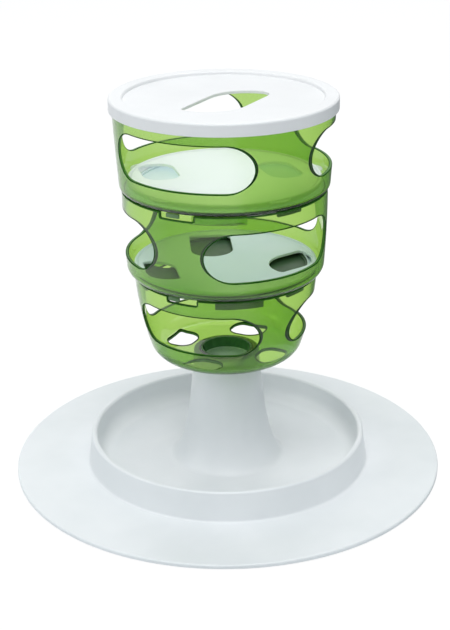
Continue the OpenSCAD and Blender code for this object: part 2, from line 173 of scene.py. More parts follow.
def rounded(corners, closed=False):
    """Points and outward normals along corners (r, z, rounding); without rounding: a point of a curve."""
    n = len(corners)
    out = []
    for i, (r, z, radius) in enumerate(corners):
        p = np.array([r, z], float)
        d0 = heading(np.array(corners[i - 1][:2], float), p)
        d1 = heading(p, np.array(corners[(i + 1) % n][:2], float))
        if not closed and i == 0:
            d0 = d1
        if not closed and i == n - 1:
            d1 = d0
        turn = math.atan2(d0[0] * d1[1] - d0[1] * d1[0], float(d0 @ d1))
        if not radius or abs(turn) < STRAIGHT:
            d = (d0 + d1) / max(TINY, np.linalg.norm(d0 + d1))
            out.append((tuple(p), (d[1], -d[0])))
            continue
        start = p - d0 * radius * math.tan(abs(turn) / 2)
        side = math.copysign(1.0, turn)
        centre = start + side * radius * np.array([-d0[1], d0[0]])
        steps = max(3, int(abs(math.degrees(turn)) / ARC_STEP))
        for k in range(steps + 1):
            a = turn * k / steps
            cos, sin = math.cos(a), math.sin(a)
            d = np.array([d0[0] * cos - d0[1] * sin, d0[0] * sin + d0[1] * cos])
            normal = np.array([d[1], -d[0]])
            out.append((tuple(centre + side * radius * normal), tuple(normal)))
    return out


def arc_points(c, r, a, b, n):
    """Points of an arc about c from angle a to angle b, in degrees."""
    turns = [math.radians(a + (b - a) * k / n) for k in range(n + 1)]
    return [(c[0] + r * math.cos(t), c[1] + r * math.sin(t)) for t in turns]


def bezier(p, q, r, s, steps):
    """Points of a curve from p to s, drawn towards q and r."""
    points = []
    for k in range(steps + 1):
        t = k / steps
        u = 1 - t
        shares = (u ** 3, 3 * u * u * t, 3 * u * t * t, t ** 3)
        points.append(tuple(sum(w * v[i] for w, v in zip(shares, (p, q, r, s))) for i in (0, 1)))
    return points


def leaf(l, w, rounds):
    """Outline of a leaf hole and its normals into the material, anticlockwise, about its own centre."""
    points, normals = [], []
    for k, (sx, sy) in enumerate([(1, 1), (-1, 1), (-1, -1), (1, -1)]):
        r = min(l, w) * rounds[k]
        n = max(6, int(r))
        points += arc_points((sx * (l / 2 - r), sy * (w / 2 - r)), r, 90 * k, 90 * k + 90, n)
        normals += arc_points((0, 0), 1.0, 90 * k, 90 * k + 90, n)
    return np.array(points), np.array(normals)


def placed(shape, turn, at):
    """An outline with its normals, turned by turn degrees and moved to the plan point at."""
    t = math.radians(turn)
    m = np.array([[math.cos(t), math.sin(t)], [-math.sin(t), math.cos(t)]])
    return shape[0] @ m + np.array(at), shape[1] @ m


def hole_outline(hole):
    """Outline and normals of a leaf hole at its place."""
    face, r, turn, l, w, rounds = hole
    return placed(leaf(l, w, rounds), face + turn, polar(face, r, 0)[:2])


def ring_border(r):
    """A circle about the axis, as the columns cut it."""
    return np.array([polar(360.0 * k / STEPS, r, 0)[:2] for k in range(STEPS)])


def dense(points, normals, step):
    """The same closed outline with no side longer than step."""
    ps, ns = [], []
    for i in range(len(points)):
        p, q = points[i], points[(i + 1) % len(points)]
        gap = np.linalg.norm(q - p)
        if gap < MERGE:
            continue
        parts = max(1, int(math.ceil(gap / step)))
        for k in range(parts):
            ps.append(p + (q - p) * k / parts)
            n = normals[i] + (normals[(i + 1) % len(points)] - normals[i]) * k / parts
            ns.append(n / np.linalg.norm(n))
    return np.array(ps), np.array(ns)


def inside(points, loop):
    """Which of the points lie inside a closed outline."""
    x, y = points[:, 0], points[:, 1]
    found = np.zeros(len(points), bool)
    ax, ay = loop[:, 0], loop[:, 1]
    bx, by = np.roll(ax, -1), np.roll(ay, -1)
    for i in range(len(loop)):
        if ay[i] == by[i]:
            continue
        crosses = (ay[i] > y) != (by[i] > y)
        found ^= crosses & (x < (bx[i] - ax[i]) * (y - ay[i]) / (by[i] - ay[i]) + ax[i])
    return found


def between(points, loops):
    """Which of the points lie inside the first outline and outside the others."""
    found = inside(points, loops[0])
    for loop in loops[1:]:
        found &= ~inside(points, loop)
    return found


def sheet_triangles(border, holes, extra, clear):
    """Triangles of a flat region between a border and its holes, with extra points kept clear of both."""
    loops = [np.asarray(border)] + [np.asarray(h) for h in holes]
    edge = np.vstack(loops)
    far = np.array([np.min(np.hypot(*(edge - p).T)) > clear for p in extra])
    points = np.vstack([edge, extra[far & between(extra, loops)]])
    edges, start = [], 0
    for loop in loops:
        n = len(loop)
        edges += [(start + i, start + (i + 1) % n) for i in range(n)]
        start += n
    made = delaunay_2d_cdt([Vector(p) for p in points], edges, [], HULL, MERGE)
    flat = np.array([tuple(v) for v in made[0]])
    tris = np.array([f for f in made[2] if len(f) == 3])
    tris = tris[between(flat[tris].mean(1), loops)]
    a, b, c = flat[tris[:, 0]], flat[tris[:, 1]], flat[tris[:, 2]]
    area = (b[:, 0] - a[:, 0]) * (c[:, 1] - a[:, 1]) - (b[:, 1] - a[:, 1]) * (c[:, 0] - a[:, 0])
    tris[area < 0] = tris[area < 0][:, ::-1]
    return flat, tris[abs(area) > TINY]


class Shell:
    """Points, known normals and faces of one piece, in millimetres. Points that coincide are one."""

    def __init__(self):
        self.points, self.faces, self.marks = [], [], []
        self.normals, self.index = {}, {}

    def point(self, p, normal=None):
        """Number of a point; the first normal given for it stays."""
        key = tuple(round(float(v), DIGITS) + 0.0 for v in p)
        if key not in self.index:
            self.index[key] = len(self.points)
            self.points.append(tuple(float(v) for v in p))
        i = self.index[key]
        if normal is not None:
            self.normals.setdefault(i, tuple(normal))
        return i

    def face(self, ids, mark=CLEAR):
        """A face, unless its points fall together."""
        kept = [v for k, v in enumerate(ids) if v != ids[k - 1]]
        if len(set(kept)) == len(kept) > 2:
            self.faces.append(kept)
            self.marks.append(mark)

    def rows(self, rows, closed=True, mark=CLEAR):
        """Quads between rows of point numbers."""
        for a, b in zip(rows, rows[1:]):
            n = len(a)
            for j in range(n if closed else n - 1):
                k = (j + 1) % n
                self.face((a[j], a[k], b[k], b[j]), mark)

    def lathe(self, profile, mark=CLEAR, count=STEPS, at=(0.0, 0.0)):
        """A profile of points and normals, (r, z), turned about the upright axis at a plan point."""
        turns = [360.0 * k / count for k in range(count + 1)]
        rows = []
        for (r, z), (nr, nz) in profile:
            row = []
            for a in turns:
                x, y, height = polar(a, r, z)
                row.append(self.point((x + at[0], y + at[1], height), polar(a, nr, nz)))
            rows.append(row)
        self.rows(rows, closed=False, mark=mark)

    def flat(self, z, up, border, holes, mark=CLEAR):
        """A face between a border and its holes, at height z or, where z is a surface, lying on that."""
        low, high = border.min(0), border.max(0)
        across = np.arange(low[0], high[0], SHEET_STEP)
        along = np.arange(low[1], high[1], SHEET_STEP)
        grid = np.array([(x, y) for x in across for y in along])
        flat, tris = sheet_triangles(border, holes, grid, SHEET_CLEAR)
        surface = z if callable(z) else lambda p: (z, (0, 0, 1))
        sign = 1 if up else -1
        ids = []
        for p in flat:
            height, normal = surface(p)
            ids.append(self.point((p[0], p[1], height), [sign * v for v in normal]))
        for t in tris:
            self.face([ids[v] for v in t[::sign]], mark)

    def cut(self, top, bottom, cut_top, cut_bottom, mark=SHADE_LINE, face_mark=CUT_SHADE):
        """A rounded edge round a hole, from lines on the two faces, the last of each nearest the cut."""
        a, b = np.asarray(cut_top), np.asarray(cut_bottom)
        along = (b - a) / np.linalg.norm(b - a, axis=1)[:, None]
        d0, d1 = a + EDGE * along, b - EDGE * along

        def curve(p, q, r):
            return [p * (1 - t) ** 2 + q * 2 * t * (1 - t) + r * t * t for t in BEND]

        upper = [*top, *curve(np.asarray(top[-1]), a, d0), d0]
        lower = [d1, *curve(d1, b, np.asarray(bottom[-1])), *bottom[::-1]]
        # In a green cup the sides of the rounding get painted-shade lines and its middle a painted-shade face
        for lines, look in [(upper, mark), ([d0, (d0 + d1) / 2, d1], face_mark), (lower, mark)]:
            self.rows([[self.point(p) for p in line] for line in lines], mark=look)

    def plan_hole(self, outline, z_top, z_bottom, mark=SHADE_LINE, band=0.0):
        """A rounded edge round an upright hole; returns the hole's border on the two faces."""
        points, normals = dense(*outline, HOLE_STEP)
        reach = [EDGE + band, EDGE] if band else [EDGE]
        lines = [points + d * normals for d in reach]

        def on(line, z):
            return [(p[0], p[1], z(p)[0] if callable(z) else z) for p in line]

        self.cut([on(line, z_top) for line in lines], [on(line, z_bottom) for line in lines],
                 on(points, z_top), on(points, z_bottom), mark)
        return lines[0]

    def block(self, r0, r1, z0, z1, face, span, mark, soft=0.4):
        """A sector block with rounded edges, closed at its ends."""
        profile = rounded([(r0, z0, soft), (r1, z0, soft), (r1, z1, soft), (r0, z1, soft)], closed=True)
        pull = math.degrees(soft / r1)
        low, high = face - span / 2, face + span / 2
        parts = max(2, int(span / BLOCK_STEP))
        turns = [(low + along * pull, across) for along, across in BLOCK_END]
        turns += [(low + pull + (span - 2 * pull) * k / parts, 0.0) for k in range(1, parts)]
        turns += [(high - along * pull, across) for along, across in reversed(BLOCK_END)]
        r_mid, z_mid = (r0 + r1) / 2, (z0 + z1) / 2
        rows = []
        for a, across in turns:
            row = []
            for (r, z), _ in profile:
                dr, dz = r - r_mid, z - z_mid
                r_in = r_mid + dr - math.copysign(soft * across, dr)
                z_in = z_mid + dz - math.copysign(soft * across, dz)
                row.append(self.point(polar(a, r_in, z_in)))
            rows.append(row)
        self.rows([r[::-1] for r in rows], mark=mark)
        self.face(rows[0], mark)
        self.face(rows[-1][::-1], mark)

    def make(self, name, materials):
        """The piece as a smooth object with the known normals; with one material its marks have no effect."""
        mesh = bpy.data.meshes.new(name)
        mesh.from_pydata([tuple(v * MM for v in p) for p in self.points], [], self.faces)
        for m in materials:
            mesh.materials.append(m)
        mesh.polygons.foreach_set("material_index", [min(m, len(materials) - 1) for m in self.marks])
        mesh.polygons.foreach_set("use_smooth", [True] * len(self.faces))
        mesh.update()
        normals = [tuple(v.normal) for v in mesh.vertices]
        for i, n in self.normals.items():
            normals[i] = tuple(Vector(n).normalized())
        mesh.normals_split_custom_set_from_vertices(normals)
        piece = bpy.data.objects.new(name, mesh)
        bpy.context.scene.collection.objects.link(piece)
        return piece


# Cups

def cup_arcs(c, d):
    """Centre and radius of a cup's corner arc, and of its side arc, set in by d."""
    lean = math.radians(c["lean"])
    corner = np.array([c["flat"], c["z"] + c["corner"]])
    start = corner + c["corner"] * np.array([math.cos(lean), -math.sin(lean)])
    inward = np.array([-math.cos(lean), math.sin(lean)])
    rim = np.array([c["rim"], c["z"] + c["h"]]) - start
    side_r = float(rim @ rim / (2 * rim @ inward))
    return corner, c["corner"] - d, start + side_r * inward, side_r - d


def side_radius(c, d, z):
    """Radius and normal (r, z) of a cup's side at height z, set in by d."""
    _, _, centre, r = cup_arcs(c, d)
    rise = z - centre[1]
    out = math.sqrt(r * r - rise * rise)
    return centre[0] + out, (out / r, rise / r)


def corner_profile(c, d):
    """Points and outward normals of a cup's bottom corner, from its floor's end to its side, set in by d."""
    corner, r, _, _ = cup_arcs(c, d)
    first = -math.degrees(math.acos(c["reach"] / r))
    angles = [first + (-c["lean"] - first) * k / CORNER_STEPS for k in range(CORNER_STEPS + 1)]
    dirs = [(math.cos(math.radians(a)), math.sin(math.radians(a))) for a in angles]
    return [((corner[0] + r * x, corner[1] + r * y), (x, y)) for x, y in dirs]


def floor_surface(c, d):
    """Height and upward normal of a cup's floor and the start of its corner at a plan point, set in by d."""
    corner, r, _, _ = cup_arcs(c, d)

    def surface(p):
        out = math.hypot(p[0], p[1])
        past = out - corner[0]
        if past <= 0:
            return corner[1] - r, (0, 0, 1)
        rise = math.sqrt(r * r - past * past)
        return corner[1] - rise, (-past / r * p[0] / out, -past / r * p[1] / out, rise / r)

    return surface


def stadium(w, h):
    """Outline of a window and its normals into the material, anticlockwise."""
    points, normals = [], []
    for s, a in [(1, -90), (-1, 90)]:
        points += arc_points((s * (w - h) / 2, 0), h / 2, a, a + 180, HALF_ROUND)
        normals += arc_points((0, 0), 1.0, a, a + 180, HALF_ROUND)
    return dense(np.array(points), np.array(normals), EDGE_STEP)


def rim_line(c, notch_face):
    """The rim's edge with its notches, (angle, height) round from the seam, and normals into the material."""
    start, top = c["seam"], c["z"] + c["h"]
    per_degree = math.radians(c["rim"])
    corners = [(start, top, None)]
    if notch_face is not None:
        low, soft = top - NOTCH["depth"], NOTCH["round"]
        for a in sorted((notch_face + THIRD * k - start) % 360 + start for k in range(3)):
            first, last = a - NOTCH["span"] / 2, a + NOTCH["span"] / 2
            corners += [(first, top, soft), (first, low, soft), (last, low, soft), (last, top, soft)]
    corners.append((start + 360, top, None))
    line = rounded([(a * per_degree, z, soft) for a, z, soft in corners])
    points, normals = [], []
    for (p, n), (q, _) in zip(line, line[1:] + [line[-1]]):
        gap = math.hypot(q[0] - p[0], q[1] - p[1])
        parts = max(1, int(math.ceil(gap / EDGE_STEP)))
        for k in range(parts):
            points.append((p[0] + (q[0] - p[0]) * k / parts, p[1] + (q[1] - p[1]) * k / parts))
            normals.append((n[0], n[1]))
    return np.array(points) / np.array([per_degree, 1.0]), np.array(normals)


def window_angles(c, line, d):
    """Angles from a window's middle to points (sideways, height) of a line, on the face set in by d."""
    radii = np.array([side_radius(c, d, z)[0] for z in line[:, 1]])
    return np.degrees(np.arcsin(line[:, 0] / radii))


def wall_face(shell, c, d, faces, gap, rim):
    """The outer face of a cup's side, or the inner one set in by d, round windows of outline gap."""
    start, per_degree = c["seam"], math.radians(c["rim"] - WALL)
    low = corner_profile(c, d)[-1][0][1]
    angles = [start + 360.0 * k / STEPS for k in range(STEPS + 1)]
    levels = np.linspace(low, c["z"] + c["h"], WALL_LEVELS)[1:-1]
    levels = [z for z in levels if z < rim[0, 1] - RIM_CLEAR]
    holes = []
    for face in faces:
        a = face + window_angles(c, gap, d)
        holes.append(np.column_stack([a * per_degree, gap[:, 1]]))
    border = [(a * per_degree, low) for a in angles]
    border += [((start + 360.0) * per_degree, z) for z in levels]
    border += [(a * per_degree, z) for a, z in rim[::-1]]
    border += [(start * per_degree, z) for z in levels[::-1]]
    grid = np.array([(a * per_degree, z) for a in angles[1:-1] for z in levels])
    flat, tris = sheet_triangles(np.array(border), holes, grid, WALL_CLEAR)
    sign = 1 if d == 0 else -1
    ids = []
    for u, z in flat:
        a = u / per_degree
        r, (nr, nz) = side_radius(c, d, z)
        ids.append(shell.point(polar(a, r, z), polar(a, sign * nr, sign * nz)))
    for t in tris:
        shell.face([ids[v] for v in t[::sign]])


def window_edge(shell, c, face, outline, near, wide):
    """The rounded edge of a window, with its line of painted shade on the outer face."""
    def on(line, d):
        angles = face + window_angles(c, line, d)
        return [polar(a, side_radius(c, d, z)[0], z) for a, z in zip(angles, line[:, 1])]

    shell.cut([on(wide, 0.0), on(near, 0.0)], [on(near, WALL)], on(outline, 0.0), on(outline, WALL))


def rim_edge(shell, c, rim, near, wide):
    """The rounded edge of the rim, in the rim's painted shade."""
    def on(line, d):
        return [polar(a, side_radius(c, d, z)[0], z) for a, z in line[:-1]]

    shell.cut([on(wide, 0.0), on(near, 0.0)], [on(wide, WALL), on(near, WALL)],
              on(rim, 0.0), on(rim, WALL), mark=RIM_SHADE, face_mark=RIM_SHADE)


def cup_wall(shell, c, window, notch_face):
    """The side of a cup: outer and inner face, windows and rim, with rounded edges."""
    faces = [window["face"] + THIRD * k for k in (1, 2, 3)]
    mid = c["rim"] - WALL
    outline, normals = stadium(2 * mid * math.sin(math.radians(window["span"] / 2)), window["h"])
    outline = outline + np.array([0.0, c["z"] + window["sill"] + window["h"] / 2])
    near = outline + EDGE * normals
    wide = outline + (EDGE + BAND) * normals
    rim, rim_normals = rim_line(c, notch_face)
    scale = np.array([math.radians(mid), 1.0])
    rim_near = rim + EDGE * rim_normals / scale
    rim_wide = rim + (EDGE + BAND) * rim_normals / scale
    for line in (rim_near, rim_wide):
        line[0, 0] = c["seam"]
        line[-1, 0] = c["seam"] + 360.0
    wall_face(shell, c, 0.0, faces, wide, rim_wide)
    wall_face(shell, c, WALL, faces, near, rim_wide)
    for face in faces:
        window_edge(shell, c, face, outline, near, wide)
    rim_edge(shell, c, rim, rim_near, rim_wide)


def plug(shell, c):
    """The plug under a cup and the well in it; returns their borders under and on the cup's floor."""
    r, floor, bottom, soft = PLUG["r"], c["z"] + WALL, c["z"] - PLUG["h"], PLUG_ROUND
    bed = bottom + WALL
    well = r - WALL
    shell.lathe(rounded([(0, bottom, None), (r, bottom, soft["bottom"]), (r, c["z"], soft["neck"]),
                         (r + STRIP, c["z"], None)]))
    deep = rounded([(well + WELL_EDGE, floor, None), (well, floor, soft["well"]), (well, bed, soft["well"]),
                    (0, bed, None)])
    # The well's mouth ring and side take painted shade, its bed painted light
    turn = next(k for k, (p, _) in enumerate(deep) if p[1] < bed + WELL_TURN)
    shell.lathe(deep[:turn + 1], mark=WELL_SIDE_SHADE)
    shell.lathe(deep[turn:], mark=WELL_BED_LIGHT)
    return ring_border(r + STRIP)[::-1], ring_border(well + WELL_EDGE)[::-1]


def cup(shell, c, window, notch_face, holes, plugged=False, floor_mark=CLEAR, seat=0.0):
    """A whole cup: floor with holes, corner, side and rim. From radius seat out, its underside has the rim's
    painted shade.
    """
    upper, lower = floor_surface(c, WALL), floor_surface(c, 0.0)
    inner = [shell.plan_hole(hole_outline(h), upper, lower, band=BAND) for h in holes]
    under = list(inner)
    if plugged:
        plug_border, well_border = plug(shell, c)
        under.append(plug_border)
        inner.append(well_border)
    edge = ring_border(c["flat"] + c["reach"])
    # Painted shade under the cup from radius seat out, where it sits on the rim below
    if seat:
        shell.flat(lower, False, edge, [ring_border(seat)[::-1]], mark=RIM_SHADE)
    shell.flat(lower, False, ring_border(seat) if seat else edge, under, mark=floor_mark)
    shell.flat(upper, True, edge, inner, mark=floor_mark)
    shell.lathe(corner_profile(c, 0.0))
    shell.lathe([(p, (-n[0], -n[1])) for p, n in corner_profile(c, WALL)[::-1]])
    cup_wall(shell, c, window, notch_face)


def plug_lug_levels():
    """Underside and top of the plug's lugs."""
    low = LOWER["z"] - PLUG["h"] + PLUG_LUG["rise"]
    return low, low + PLUG_LUG["h"]


def plug_lugs(shell):
    """Lugs round the plug, in the groove of the column's socket."""
    low, high = plug_lug_levels()
    for k in range(3):
        shell.block(PLUG["r"] + HAIR, PLUG["r"] + PLUG_LUG["t"], low, high, THIRD * k, PLUG_LUG["span"],
                    mark=CLEAR, soft=PLUG_LUG["soft"])


def guide(shell, c, foot, arcs):
    """A low ring on a cup's floor that centres its plate's foot, left out where the floor's holes cut it."""
    outer = foot - PLATE["foot_w"] - FIT
    low = c["z"] + WALL + HAIR
    for face, span in arcs:
        shell.block(outer - GUIDE["w"], outer, low, low + GUIDE["h"], face, span,
                    mark=FLOOR, soft=GUIDE["soft"])


def hangers(shell, c, below, tabs):
    """Tabs inside the rim below and lugs in its notches, just under the cup's floor."""
    rim_in = below["rim"] - WALL
    tab_out = rim_in - TAB["gap"]
    tab_in = tab_out - TAB["t"]
    top = c["z"] - HAIR
    for k in range(3):
        face, lug = tabs["face"] + THIRD * k, tabs["lug"] + THIRD * k
        shell.block(tab_in, tab_out, c["z"] - TAB["h"], top, face, TAB["span"], mark=LONG)
        shell.block(tab_in, tab_out, c["z"] - SHORT_TAB["h"], top, face + SHORT_TAB["offset"],
                    SHORT_TAB["span"], mark=SHORT)
        shell.block(rim_in + FIT, below["rim"] - FIT, c["z"] - LUG["h"], top, lug, LUG["span"], mark=SHORT)


# White pieces and pads

def ear(shell, r, tip, z0, z1, face):
    """The part of a round ear that stands out past the edge of a plate of radius r."""
    size, soft, steps = EAR["round"], EAR["soft"], EAR["steps"]
    centre = tip - size
    meet = (r * r - centre * centre - size ** 2) / (2 * centre * size)
    reach = math.degrees(math.acos(meet)) + EAR["overlap"]
    turns = [math.radians(-reach + 2 * reach * k / steps) for k in range(steps + 1)]
    cos, sin = math.cos(math.radians(face)), math.sin(math.radians(face))

    def line(d, z):
        points = []
        for a in turns:
            u, v = (size - d) * math.sin(a), centre + (size - d) * math.cos(a)
            points.append(shell.point((u * cos + v * sin, u * sin - v * cos, z)))
        return points

    bevel = soft * EAR["bevel"]
    rows = [line(soft, z0), line(bevel, z0 + bevel), line(0, z0 + soft)]
    rows += [line(0, z1 - soft), line(bevel, z1 - bevel), line(soft, z1)]
    shell.rows(rows, closed=False)
    shell.face(rows[0][::-1])
    shell.face(rows[-1])


def plate(shell, c, p, holes):
    """A floor disc on its ring foot, with leaf holes, a raised lip and round ears."""
    soft, r, lip = PLATE_ROUND, p["r"], PLATE["lip"]
    z0 = c["z"] + WALL + FIT
    z1 = z0 + PLATE["foot_h"]
    z2 = z1 + PLATE["t"]
    foot, foot_in = p["foot"], p["foot"] - PLATE["foot_w"]
    crest, valley = r - PLATE["crest"] * lip, r - PLATE["valley"] * lip
    wide = [shell.plan_hole(hole_outline(h), z2, z1) for h in holes]
    for k in range(EAR["count"]):
        face = p["ear_face"] + 360.0 * k / EAR["count"]
        ear(shell, r, p["ear"], z1 + lip + EAR["inset"], z2 - EAR["inset"], face)
    shell.flat(z1, False, ring_border(foot_in - STRIP), wide)
    shell.flat(z2, True, ring_border(valley - STRIP), wide)
    shell.lathe(rounded([
        (foot_in - STRIP, z1, None), (foot_in, z1, soft["root"]), (foot_in, z0, soft["foot"]),
        (foot, z0, soft["foot"]), (foot, z1, soft["root"]), (r - lip, z1, soft["root"]),
        (r, z1 + lip, soft["side"]), (r, z2, soft["edge"]), (r - lip, z2 + lip, soft["edge"]),
        (crest, z2 + lip, soft["lip"]), (valley, z2, soft["lip"]), (valley - STRIP, z2, None)
    ]))


def lid(shell):
    """The cap: recessed top with the filling hole, raised rim and skirt."""
    soft, z = LID_ROUND, LID["z"]
    floor = z + LID["t"]
    top = floor + LID["recess"]
    low = top - LID["h"]
    recess = LID["r"] - LID["rim"]
    sheet = recess - LID["strip"]
    outline = placed(leaf(LID_HOLE["l"], LID_HOLE["w"], LID_HOLE["rounds"]), LID_HOLE["turn"], LID_HOLE["at"])
    wide = shell.plan_hole(outline, floor, z, mark=CLEAR)
    shell.flat(z, False, ring_border(sheet), [wide])
    shell.flat(floor, True, ring_border(sheet), [wide])
    shell.lathe(rounded([
        (sheet, z, None), (LID["bore"], z, soft["bore"]), (LID["bore"], low, soft["low_in"]),
        (LID["r"], low, soft["low_out"]), (LID["r"], top, soft["top"]), (recess, top, soft["recess"]),
        (recess, floor, soft["floor"]), (sheet, floor, None)
    ]))


def column_side(d):
    """The column's side from its top down to the tray floor, set in by d."""
    c, tray = COLUMN, BASE["tray"]
    line = bezier((c["r"] - d, c["h"]), (c["r"] + c["swell"] - d, c["h"] * c["waist"]),
                  (c["foot"] - c["flare"] - d, tray - d), (c["foot"] - d / 2, tray - d), c["steps"])
    return [(r, z, None) for r, z in line]


def skirt_and_ring():
    """Corners from the skirt's lower edge over the skirt and the ring wall to the tray floor."""
    b, soft = BASE, BASE_ROUND
    ring_in = b["ring_r"] - b["ring_w"]
    crown = b["ring_w"] * b["crown"]
    return [(b["r"] - b["lip"], b["clear"], soft["lip"]), (b["r"], b["clear"], soft["low"]),
            (b["r"], b["skirt"], soft["skirt"]), (b["ring_r"] + b["draft"], b["skirt"], soft["root"]),
            (b["ring_r"], b["ring_h"], crown), (ring_in, b["ring_h"], crown),
            (ring_in, b["tray"], b["fillet"])]


def socket():
    """Corners of the column's mouth and socket, with the ring groove for the plug's lugs."""
    c, soft = COLUMN, BASE_ROUND
    r, groove = c["socket"], c["socket"] + PLUG_LUG["t"] + FIT
    low, high = plug_lug_levels()
    return [(c["r"], c["h"], soft["mouth"]), (r, c["h"], soft["socket"]), (r, high + FIT, soft["groove"]),
            (groove, high + FIT, soft["groove"]), (groove, low - FIT, soft["groove"]),
            (r, low - FIT, soft["groove"]), (r, c["h"] - c["socket_h"], soft["step"])]


def underside():
    """Corners of the underside from the tray's hollow over the rib to the skirt's lip."""
    b, soft = BASE, BASE_ROUND
    tray_under, skirt_under = b["tray"] - b["shell"], b["skirt"] - b["shell"]
    rib_in = b["ring_r"] - b["rib"]
    return [(rib_in, tray_under, soft["rib_root"]), (rib_in, b["clear"], soft["rib"]),
            (b["ring_r"], b["clear"], soft["rib"]), (b["ring_r"], skirt_under, soft["under"]),
            (b["r"] - b["lip"], skirt_under, soft["under"])]


def base(shell):
    """Skirt, ring wall, tray floor and hollow column in one closed profile."""
    hollow_top = COLUMN["h"] - COLUMN["socket_h"] - BASE["shell"]
    hollow = [corner for corner in column_side(BASE["shell"]) if corner[1] < hollow_top]
    corners = skirt_and_ring() + column_side(0.0)[:0:-1] + socket() + hollow + underside()
    profile = rounded(corners, closed=True)
    shell.lathe(profile + profile[:1], count=2 * STEPS)


def pad(shell, at, r, h):
    """A rubber pad with a softly rounded edge and a shallow dish under it."""
    soft, dish = PAD_ROUND, PAD["dish"]
    profile = rounded([(0, dish, None), (r * PAD["dish_r"], dish, soft["dish"]),
                       (r * PAD["ring_r"], 0, soft["dish"]), (r, 0, soft["low"]), (r, h, soft["top"]),
                       (0, h, None)])
    shell.lathe(profile, count=PAD["steps"], at=at)


# Materials

PLASTIC_IOR = 1.49
NOISE_DETAIL = 3.0
NOISE_ROUGH = 0.55
RAMP_ENDS = (0.35, 0.65)      # noise at the two ends of a colour ramp
NOISE_RANGE = (0.3, 0.7)      # noise at the two ends of a range of values
CLEAR_TINT = (0.97, 1.0, 0.93)
CLEAR_PASS = 0.975            # share of light that the clear plastic's faces let in
CLEAR_SHADOW = 0.95           # share of the lamps' light that passes straight through it
BODY_GREEN = (0.60, 0.795, 0.14)
BODY_DENSITY = 800.0


def node_of(tree, kind):
    """The first node of a kind."""
    return next(n for n in tree.nodes if n.type == kind)


def new_material(name):
    """A material with its node tree and its shader."""
    m = bpy.data.materials.new(name)
    m.use_nodes = True
    return m, m.node_tree, node_of(m.node_tree, "BSDF_PRINCIPLED")


def link(tree, a, out, b, into):
    """Links an output of node a to an input of node b."""
    tree.links.new(a.outputs[out], b.inputs[into])


def maths(tree, operation, *terms):
    """A math node; each term is a number, or a node with the name of its output."""
    n = tree.nodes.new("ShaderNodeMath")
    n.operation = operation
    for i, term in enumerate(terms):
        if isinstance(term, tuple):
            link(tree, *term, n, i)
        else:
            n.inputs[i].default_value = term
    return n


def mix_out(tree, share, first, second, output):
    """Puts two shaders on the output, the second with the share that a node's value gives."""
    mix = tree.nodes.new("ShaderNodeMixShader")
    link(tree, share, "Value", mix, "Fac")
    link(tree, first, 0, mix, 1)
    link(tree, second, 0, mix, 2)
    link(tree, mix, "Shader", node_of(tree, output), "Surface")


def noise(tree, scale, detail=NOISE_DETAIL):
    """A noise over the object's own coordinates, in features per metre."""
    where = tree.nodes.new("ShaderNodeTexCoord")
    n = tree.nodes.new("ShaderNodeTexNoise")
    n.inputs["Scale"].default_value = scale
    n.inputs["Detail"].default_value = detail
    n.inputs["Roughness"].default_value = NOISE_ROUGH
    link(tree, where, "Object", n, "Vector")
    return n


def mottle(tree, shader, low, high, scale):
    """A colour that wanders between two shades."""
    r = tree.nodes.new("ShaderNodeValToRGB")
    for element, place, colour in zip(r.color_ramp.elements, RAMP_ENDS, (low, high)):
        element.position = place
        element.color = (*colour, 1)
    link(tree, noise(tree, scale), "Fac", r, "Fac")
    link(tree, r, "Color", shader, "Base Color")


def uneven_gloss(tree, shader, low, high, scale):
    """A roughness that wanders between two values."""
    m = tree.nodes.new("ShaderNodeMapRange")
    m.inputs["From Min"].default_value, m.inputs["From Max"].default_value = NOISE_RANGE
    m.inputs["To Min"].default_value = low
    m.inputs["To Max"].default_value = high
    link(tree, noise(tree, scale), "Fac", m, "Value")
    link(tree, m, "Result", shader, "Roughness")


def grain(tree, shader, source, strength, distance):
    """Fine bumps from a noise."""
    b = tree.nodes.new("ShaderNodeBump")
    b.inputs["Strength"].default_value = strength
    b.inputs["Distance"].default_value = distance
    link(tree, source, "Fac", b, "Height")
    link(tree, b, "Normal", shader, "Normal")


def let_light_through(tree, shader, share):
    """Lets a share of the lamps' light pass straight through, as thin or clear plastic does."""
    path = tree.nodes.new("ShaderNodeLightPath")
    amount = maths(tree, "MULTIPLY", (path, "Is Shadow Ray"), share)
    mix_out(tree, amount, shader, tree.nodes.new("ShaderNodeBsdfTransparent"), "OUTPUT_MATERIAL")


def white_plastic(name, low, high, gloss, through=0.0):
    """Moulded plastic: faint mottling, a fine satin grain and uneven gloss."""
    m, tree, shader = new_material(name)
    mottle(tree, shader, low, high, scale=14.0)
    uneven_gloss(tree, shader, gloss - 0.05, gloss + 0.06, scale=45.0)
    grain(tree, shader, noise(tree, scale=1400.0, detail=2.0), strength=0.12, distance=0.0002)
    shader.inputs["IOR"].default_value = PLASTIC_IOR
    if through:
        let_light_through(tree, shader, through)
    return m


def green_plastic(name):
    """See-through plastic: clear faces and a body that takes up more light the longer the way through it."""
    m, tree, shader = new_material(name)
    shader.inputs["Base Color"].default_value = (*CLEAR_TINT, 1)
    shader.inputs["Transmission Weight"].default_value = CLEAR_PASS
    shader.inputs["IOR"].default_value = PLASTIC_IOR
    uneven_gloss(tree, shader, 0.015, 0.06, scale=60.0)
    grain(tree, shader, noise(tree, scale=70.0, detail=1.0), strength=0.05, distance=0.0006)
    body = tree.nodes.new("ShaderNodeVolumeAbsorption")
    body.inputs["Color"].default_value = (*BODY_GREEN, 1)
    body.inputs["Density"].default_value = BODY_DENSITY
    link(tree, body, "Volume", node_of(tree, "OUTPUT_MATERIAL"), "Volume")
    let_light_through(tree, shader, CLEAR_SHADOW)
    return m


